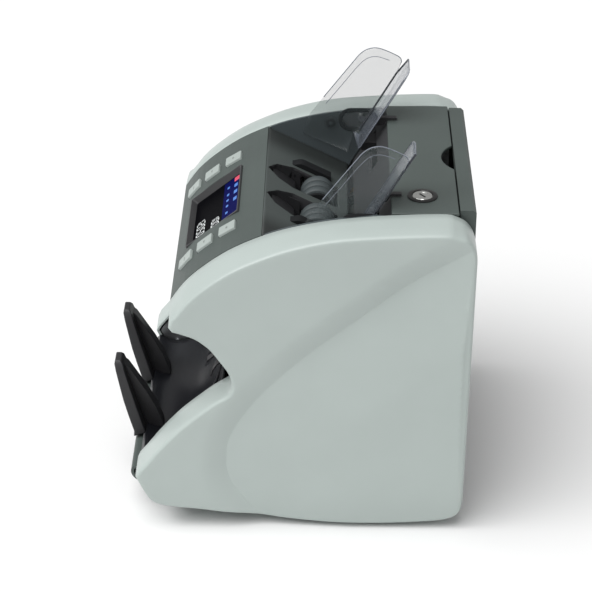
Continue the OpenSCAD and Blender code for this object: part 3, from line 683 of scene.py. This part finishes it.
def floor_piece():
    wide = floor_high.x
    front = panel_high.y - 0.9
    outline = [Vector(p) for p in ((-wide, front), (wide, front), (wide, floor_high.y),
                                   (-wide, floor_high.y))]
    pockets = [[Vector((s * x, y)) for x, y in POCKET] for s in (1, -1)]
    rings = [p + [p[0]] for p in pockets]
    dense = [[a.lerp(b, k / 8) for a, b in zip(r, r[1:]) for k in range(8)] + [r[-1]] for r in rings]
    lines = dense + [shifted(d, off) for d in dense for off in (0.6, -0.6, 2, -2)]
    points, tris = fill(outline, lines, 2.5)
    verts = []
    for p in points:
        sink = 0
        for pocket, line in zip(pockets, dense):
            if inside(p, pocket):
                d = abs(path_place(line, p)[0])
                sink = max(sink, POCKET_STEP * smooth(d / 2.4) + POCKET_FALL * min(d, 14))
        verts.append(slope_point(p.x, p.y, sink))
    well_x = ROLLER_W / 2 + WELL_GAP
    kept, index = [], []
    for tri in tris:
        c = sum((points[i] for i in tri), Vector((0, 0))) / 3
        if any(abs(c.x - s * ROLLER_X) < well_x and 2 < c.y < 41 for s in (1, -1)):
            continue
        kept.append(tri)
        index.append(1 if any(inside(c, p) for p in pockets) else 0)
    # The slope's colour carries painted shade that darkens it towards the hopper's side walls
    mesh_piece("hopper_slope", verts, kept, [MATERIALS["hopper_dark"], MATERIALS["plate_black"]],
               "hopper_dark", "case", ["hopper_floor"], face_mats=index, solid=1.6, offset=0, angle=50)


floor_piece()


def roller_parts(mid):
    """Three broad rounded ribs on a narrower black core."""
    pitch = ROLLER_W / 3
    shapes = []
    for i in range(3):
        low, high = mid - ROLLER_W / 2 + i * pitch, mid - ROLLER_W / 2 + (i + 1) * pitch - 2.4
        ends = [0, 0.03, 0.12, 0.3, 0.5, 0.7, 0.88, 0.97, 1]
        crown = [(low + (high - low) * t, ROLLER_R - 1.4 * abs(2 * t - 1) ** 4) for t in ends]
        shapes.append(lathe([(low, ROLLER_R - 5)] + crown + [(high, ROLLER_R - 5)],
                            (0, FEED_Y, FEED_Z), steps=64))
    core = [(mid - ROLLER_W / 2, 4.1), (mid - ROLLER_W / 2, ROLLER_R - 3.6),
            (mid + ROLLER_W / 2, ROLLER_R - 3.6), (mid + ROLLER_W / 2, 4.1)]
    return shapes + [lathe(core, (0, FEED_Y, FEED_Z), steps=48)]


for side in (-1, 1):
    mid = side * ROLLER_X
    name = "right" if side > 0 else "left"
    v, f, index = joined(*roller_parts(mid))
    mesh_piece("feed_roller_" + name, v, f, [MATERIALS["roller_grey"], MATERIALS["ring_black"]],
               "roller_grey", "feed", ["feed_rollers"], face_mats=[k // 3 for k in index], angle=60)
    hubs = []
    for end in (-1, 1):
        start = mid + end * ROLLER_W / 2
        profile = [(start, 3.9), (start, 12.6), (start + end * 0.8, 13.2), (start + end * 2.2, 13.2),
                   (start + end * 2.8, 12.4), (start + end * 2.8, 6.2), (start + end * 3.4, 3.9)]
        hubs.append(lathe(profile, (0, FEED_Y, FEED_Z), steps=48))
    v, f, _ = joined(*hubs)
    mesh_piece("roller_hubs_" + name, v, f, MATERIALS["ring_black"], "ring_black", "feed")

# Two black guards with pointed fronts that stand out of the slope beside the rollers
for side in (-1, 1):
    guard = []
    for x0, lift in ((51, 6), (52, 7.2), (60, 7.2), (61, 6)):
        guard.append([(side * x0, y, slope_point(0, y)[2] - 0.4 + (lift * smooth((y + 3) / 14)
                                                                if k == 0 else 0))
                      for k, ys in ((0, range(-3, 37, 2)), (1, range(35, -4, -2))) for y in ys])
    mesh_piece("note_guard_" + ("right" if side > 0 else "left"), *capped(guard),
               MATERIALS["ring_black"], "ring_black", "case")

# Black moulding round the slot in each hopper wall, with a dark back, and a raised screw cap beside it
WALL_IN = box_mm("hopper_side_right")[1].x - 2
SLOT_ENDS, SLOT_Z, SLOT_R = (52.5, 65.5), 274, 8.5


def oblong(r, x):
    """Ring of points round the slot's outline, r from its middle line."""
    out = []
    for cy, start in ((SLOT_ENDS[1], -90), (SLOT_ENDS[0], 90)):
        for k in range(13):
            a = math.radians(start + 15 * k)
            out.append((x, cy + r * math.cos(a), SLOT_Z + r * math.sin(a)))
    return out


for side in (-1, 1):
    name = "right" if side > 0 else "left"
    levels = [(SLOT_R - 0.2, 1.9), (SLOT_R - 1, 0), (SLOT_R - 0.8, -0.7), (SLOT_R, -1.1), (SLOT_R + 2, -1.1),
              (SLOT_R + 2.7, -0.7), (SLOT_R + 2.8, 0)]
    rings = [oblong(r, side * (WALL_IN + x)) for r, x in levels]
    v, f = strip(rings + rings[:1])
    mesh_piece("slot_rim_" + name, v, f, MATERIALS["ring_black"], "ring_black", "case", angle=60)
    cap = [(side * (WALL_IN - 0.3), 0.4), (side * (WALL_IN - 0.3), 1.4), (side * (WALL_IN - 0.8), 1.8),
           (side * (WALL_IN - 0.8), 4.6), (side * (WALL_IN - 0.6), 5.4), (side * (WALL_IN - 0.4), 6),
           (side * (WALL_IN + 0.3), 6.2)]
    mesh_piece("wall_boss_" + name, *lathe(cap, (0, 34.6, 270.6), steps=40), MATERIALS["plate_black"],
               "plate_black", "case")

# ---------------------------------------------------------------- clear guides
SHEET = 2.0
GUIDE_X = guide_high.x - 4 - SHEET / 2
LEAF_W, BEND_R = 36, 5
LEAN = Vector((30.5, 52)).normalized()
BACK = Vector((LEAN.y, -LEAN.x))
FOOT = Vector((71.5, 284)) + BACK * SHEET / 2
SIDE_TOP = [(28, 297), (54, 331), (60, 338.5), (66, 342.8), (73, 344.4), (80, 343), (90, 338.6),
            (95.5, 335.2), (97, 331.5)]
# Depth of the notch between the two leaves at the top
NOTCH_V = 18
# [y, z] of the pin that runs in the wall's slot
PIN_AT = (62, 276)
# Where a carriage's foot and clips lie
CARRIAGE_X, CARRIAGE_Y = (82, 92), (101, 112.4)
# Line moulded a little inside the side leaf's upper edge
INNER_LINE = [(30, 291), (44, 309), (58, 327), (66, 334.5), (75, 336.5), (86, 333)]


def unfold(p):
    p = Vector(p)
    return Vector(((p - FOOT).dot(BACK) + BEND_R, (p - FOOT).dot(LEAN)))


def fold(p, side, out=0):
    """Point of the bent sheet: the side leaf, a round bend, then the rear leaf."""
    turn = BEND_R * math.pi / 2
    if p.x < 0:
        back, x = p.x - BEND_R, GUIDE_X + out
    elif p.x < turn:
        a = p.x / BEND_R
        back, x = BEND_R * (math.sin(a) - 1), GUIDE_X - BEND_R * (1 - math.cos(a))
    else:
        back, x = 0, GUIDE_X - BEND_R - (p.x - turn)
    q = FOOT + BACK * back + LEAN * p.y
    return (side * x, q.x, q.y)


def guide_piece(side, letter, name):
    turn = BEND_R * math.pi / 2
    top_v = unfold((102, 336)).y
    low_v = -26
    far = turn + LEAF_W - BEND_R - 1
    rim = [Vector((u, v)) for u, v in
           [(0, low_v), (far - 4, low_v), (far - 1.2, low_v + 1.2), (far, low_v + 4), (far, top_v - 8),
            (far - 1, top_v - 3.6), (far - 3.6, top_v - 1), (far - 8, top_v)]]
    upper = [unfold(p) for p in curve(SIDE_TOP, 5)]
    outline = rim + [Vector((turn, top_v)), Vector((turn * 0.5, top_v - NOTCH_V))] + upper[::-1]
    outline += [unfold(p) for p in ((16, 281), (9, 262), (12, 260), (50, 244), (53, 243))]
    area = sum(a.x * b.y - b.x * a.y for a, b in zip(outline, outline[1:] + outline[:1]))
    if area < 0:
        outline.reverse()
    creases = [[Vector((turn * k / 8, low_v + (top_v - low_v) * j / 10)) for j in range(11)]
               for k in range(9)]
    flat, tris = fill(outline, creases, 4)
    verts = [fold(p, side) for p in flat]
    tint = [1 if sum(flat[i].x for i in tri) / 3 > turn else 0 for tri in tris]
    mesh_piece("guide_sheet_" + name, verts, tris, [MATERIALS["guide_clear"], LEAF], "guide_clear",
               "guide_" + letter, ["guide_" + name], face_mats=tint, solid=SHEET - 0.1, offset=0, angle=60)
    line = [(side * (GUIDE_X - SHEET / 2 - 0.1), p.x, p.y) for p in curve(INNER_LINE, 4)]
    edge = [fold(p, side) for p in upper]
    corner = [fold(Vector((turn * 0.5, top_v - NOTCH_V)), side), fold(Vector((turn, top_v)), side)]
    rear = [fold(p, side) for p in rim[:0:-1]]
    v, f, _ = joined(tube(line, 0.3), tube(edge + corner + rear, 0.42))
    mesh_piece("guide_edge_" + name, v, f, EDGE, "guide_clear", "guide_" + letter, weld=0.001)
    seam = [fold(Vector((turn * 0.5, low_v + 4 + (top_v - NOTCH_V - low_v - 4) * k / 10)), side)
            for k in range(11)]
    stile = [fold(Vector((far - 0.8, v)), side) for v in (low_v + 5, 0, top_v - 9)]
    v, f, _ = joined(tube(seam + corner[1:], 0.9), tube(stile, 0.8))
    mesh_piece("guide_seam_" + name, v, f, SEAM, "guide_clear", "guide_" + letter, weld=0.001)
    run, (x0, x1), (front, back) = belt_run[side], CARRIAGE_X, CARRIAGE_Y
    arm = prism([(59.8, 262.6), (61.9, 266), (94, 266), (94, 258), (62, 258)], side * 76, side * 96)
    hook = prism([(72.1, 282.5), (76.7, 290.3), (92.2, 290.3), (93, 289.6), (93, 288.3), (84.4, 288.3),
                  (80.5, 282.5)], side * 75, side * 80)
    bearing = lathe([(side * 76, 3.2), (side * 76, 5.6), (side * 96, 5.6), (side * 96, 3.2)],
                    (0, rail_mid.y, rail_mid.z), steps=32)
    clip = block((side * x0, front, run + 2.2), (side * x1, back, run + 3.1))
    foot = block((side * x0, front, min(run - 2, rail_mid.z)),
                 (side * x1, front + 3.8, max(run + 3.1, rail_mid.z)))
    clamp = block((side * x0, front, run - 2), (side * x1, back, run - 0.6))
    v, f, _ = joined(arm, hook, bearing, clip, foot, clamp)
    mesh_piece("guide_carriage_" + name, v, f, MATERIALS["plate_black"], "plate_black",
               "guide_" + letter, bevel=0.5, weld=0.001)
    pin = [(side * 104.5, 0.6), (side * 104.5, 3), (side * 108.6, 3), (side * 109.2, 3.4),
           (side * 109.8, 3.2), (side * 110, 0.6)]
    mesh_piece("guide_pin_" + name, *lathe(pin, (0, *PIN_AT), steps=32), MATERIALS["steel"], "steel",
               "guide_" + letter)


# Middle of the rail that the carriages slide on
rail_mid = Vector((0, 97, 262))
belt_box = box_mm("guide_belt")
belt_run = {1: belt_box[1].z - 1.2, -1: belt_box[0].z}
guide_piece(1, "r", "right")
guide_piece(-1, "l", "left")

# ---------------------------------------------------------------- stacker
plate_high = box_mm("stacker_plates")[1]
PLATE_X = plate_high.x - 18
# Side view of a plate: its front and rear edges, with its half width, from the base up
PLATE_ROWS = [((-138, 42), (-127, 46.4), 17.6), ((-137.5, 47.5), (-128.5, 52), 18),
              ((-142, 63), (-132, 64), 17.2), ((-146, 78), (-135, 74), 16.2),
              ((-149.3, 93), (-140.2, 92), 14.4), ((-152, 105), (-144, 105), 12.2),
              ((-153.3, 111.4), (-146, 112), 9.6), ((-152.6, 114.6), (-148, 114.4), 7.4)]


def plate_piece(side, name):
    """One leaning plate, a stack of six-sided rings."""
    rings = []
    for front, back, half in PLATE_ROWS:
        ring = [(side * PLATE_X + x * half, front[0], front[1]) for x in (-1, 0, 1)]
        ring += [(side * PLATE_X + x * half, back[0], back[1]) for x in (1, 0, -1)]
        rings.append(ring)
    verts, faces = capped(rings)
    mesh_piece("stacker_plate_" + name, verts, faces, MATERIALS["plate_black"], "plate_black",
               "case", ["stacker_plates"], bevel=1.1, segments=3)


# Side view of the rib that joins each plate to the tray behind it
RIB = [(-149, 112), (-142, 106), (-134, 93), (-126, 80), (-118, 64), (-113, 50), (-112, 43.5), (-127, 44.5),
       (-130, 52), (-140, 80), (-147, 104)]


def rib_piece(side, name):
    """The rib behind one plate."""
    verts, faces = prism(RIB, side * PLATE_X - 9, side * PLATE_X + 3)
    mesh_piece("plate_rib_" + name, verts, faces, MATERIALS["plate_black"], "plate_black", "case",
               bevel=0.8, segments=2)


plate_piece(1, "right")
plate_piece(-1, "left")
rib_piece(1, "right")
rib_piece(-1, "left")

tray_low, tray_high = box_mm("stacker_tray")
# Where the tray's slots for the paddle wheels are, and its side view
WHEEL_X, SLOT_HALF = 40, 7
TRAY = [(-126, 46), (-117, 41.5), (-106, 41), (-94, 45), (-82, 53), (-71, 67), (-62, 88),
        (-56, 114), (-53, 146)]
# Side views of the hood over the notes' way out, and of the cheeks under the tray
HOOD = [(-85, 189.5), (-68, 184.5), (-53, 171.5), (-45.5, 157)]
CHEEK = [(-120, 40), (-106, 38), (-93, 42), (-80, 51), (-70, 40), (-70, 28.5), (-96, 28.5), (-114, 34)]


def tray_piece():
    """Curved tray with a slot for each paddle wheel and a turned-down front edge."""
    line = [Vector((-127.2, 42.8)), Vector((-127, 44.6))] + curve(TRAY, 6)
    cuts = sorted({tray_low.x, tray_high.x} | {s * WHEEL_X + e * SLOT_HALF for s in (-1, 1) for e in (-1, 1)}
                  | {tray_low.x + (tray_high.x - tray_low.x) * k / 24 for k in range(25)})
    verts, faces = strip([[(x, p.x, p.y) for x in cuts] for p in line], False)
    kept = []
    for face in faces:
        c = sum((Vector(verts[i]) for i in face), Vector((0, 0, 0))) / 4
        slotted = any(abs(c.x - s * WHEEL_X) < SLOT_HALF for s in (-1, 1))
        if not (slotted and c.z > 60 and c.z < 142):
            kept.append(face)
    mesh_piece("tray_curve", verts, kept, MATERIALS["tray_black"], "tray_black", "case",
               ["stacker_tray"], solid=2.3, offset=1, angle=60)
    hood = strip([[(x, p.x, p.y) for x in cuts] for p in curve(HOOD, 5)], False)
    mesh_piece("tray_hood", *hood, MATERIALS["tray_black"], "tray_black", "case", solid=1.9, offset=-1,
               angle=60)
    cheeks = [prism(CHEEK, s * 99 - 1, s * 99 + 1) for s in (-1, 1)]
    verts, faces, _ = joined(*cheeks)
    mesh_piece("tray_cheeks", verts, faces, MATERIALS["tray_black"], "tray_black", "case", bevel=0.4)


tray_piece()


def foot_piece(x, y, number):
    low, high = box_mm("feet")
    profile = [(0.0, 7.6), (0.6, 8.8), (4.6, 9.8), (high.z, 10)]
    mesh_piece("foot_%d" % number, *lathe(profile, (x, y, 0), "z"), MATERIALS["foot_black"],
               "foot_black", "case", ["feet"])


feet_low, feet_high = box_mm("feet")
for number, (sx, sy) in enumerate(((0, 0), (1, 0), (0, 1), (1, 1))):
    foot_piece((feet_low.x + 10, feet_high.x - 10)[sx], (feet_low.y + 10, feet_high.y - 10)[sy], number + 1)

# ---------------------------------------------------------------- CAD nodes that stay
for part in record["subparts"]:
    node = nodes[part["node"]]
    mat = MATERIALS[part["material_slot"]]
    for k in range(max(1, len(node.material_slots))):
        if len(node.material_slots) <= k:
            node.data.materials.append(mat)
        else:
            node.material_slots[k].material = mat
back = nodes["hopper_back"]
for k in range(len(back.material_slots)):
    back.material_slots[k].material = BACK_WALL

# ---------------------------------------------------------------- floor, light and camera
case_mid = (cad_box[0] + cad_box[1]) / 2


def stage_material(colour):
    mat = bpy.data.materials.new("stage")
    mat.use_nodes = True
    shader = mat.node_tree.nodes["Principled BSDF"]
    shader.inputs["Base Color"].default_value = colour + (1,)
    shader.inputs["Roughness"].default_value = 0.9
    return mat


floor_mesh = bpy.data.meshes.new("floor")
floor_mesh.from_pydata([(-30, -30, 0), (30, -30, 0), (30, 30, 0), (-30, 30, 0)], [], [(0, 1, 2, 3)])
floor_mesh.materials.append(stage_material((0.84, 0.84, 0.84)))
floor = bpy.data.objects.new("floor", floor_mesh)
bpy.context.scene.collection.objects.link(floor)


def softbox(name, place, size, power, aim):
    data = bpy.data.lights.new(name, "AREA")
    data.shape, data.size, data.energy = "DISK", size, power
    lamp = bpy.data.objects.new(name, data)
    lamp.location = place
    lamp.rotation_euler = (Vector(aim) - Vector(place)).to_track_quat("-Z", "Y").to_euler()
    bpy.context.scene.collection.objects.link(lamp)


softbox("gloss", (0.5, -1.6, 1.9), 1.2, 8, case_mid)
sun_data = bpy.data.lights.new("key", "SUN")
sun_data.energy, sun_data.angle = 2.9, math.radians(60)
sun = bpy.data.objects.new("key", sun_data)
sun.rotation_euler = Vector((-0.29, 0.36, -0.88)).to_track_quat("-Z", "Y").to_euler()
bpy.context.scene.collection.objects.link(sun)
world = bpy.data.worlds.new("studio")
world.use_nodes = True
world.node_tree.nodes["Background"].inputs["Color"].default_value = (1, 1, 1, 1)
world.node_tree.nodes["Background"].inputs["Strength"].default_value = 0.36
bpy.context.scene.world = world
bpy.context.scene.view_settings.view_transform = "Standard"

AZIMUTH, ELEVATION, DISTANCE = math.radians(90.9), math.radians(28.5), 1.7553
target = Vector((cad_box[1].x, 0.007, 0.2293))
camera_data = bpy.data.cameras.new("camera")
camera_data.lens, camera_data.sensor_width = 131.7, 36
camera = bpy.data.objects.new("camera", camera_data)
out = Vector((math.sin(AZIMUTH) * math.cos(ELEVATION), -math.cos(AZIMUTH) * math.cos(ELEVATION),
              math.sin(ELEVATION)))
camera.location = target + out * DISTANCE
camera.rotation_euler = (-out).to_track_quat("-Z", "Y").to_euler()
bpy.context.scene.collection.objects.link(camera)
bpy.context.scene.camera = camera
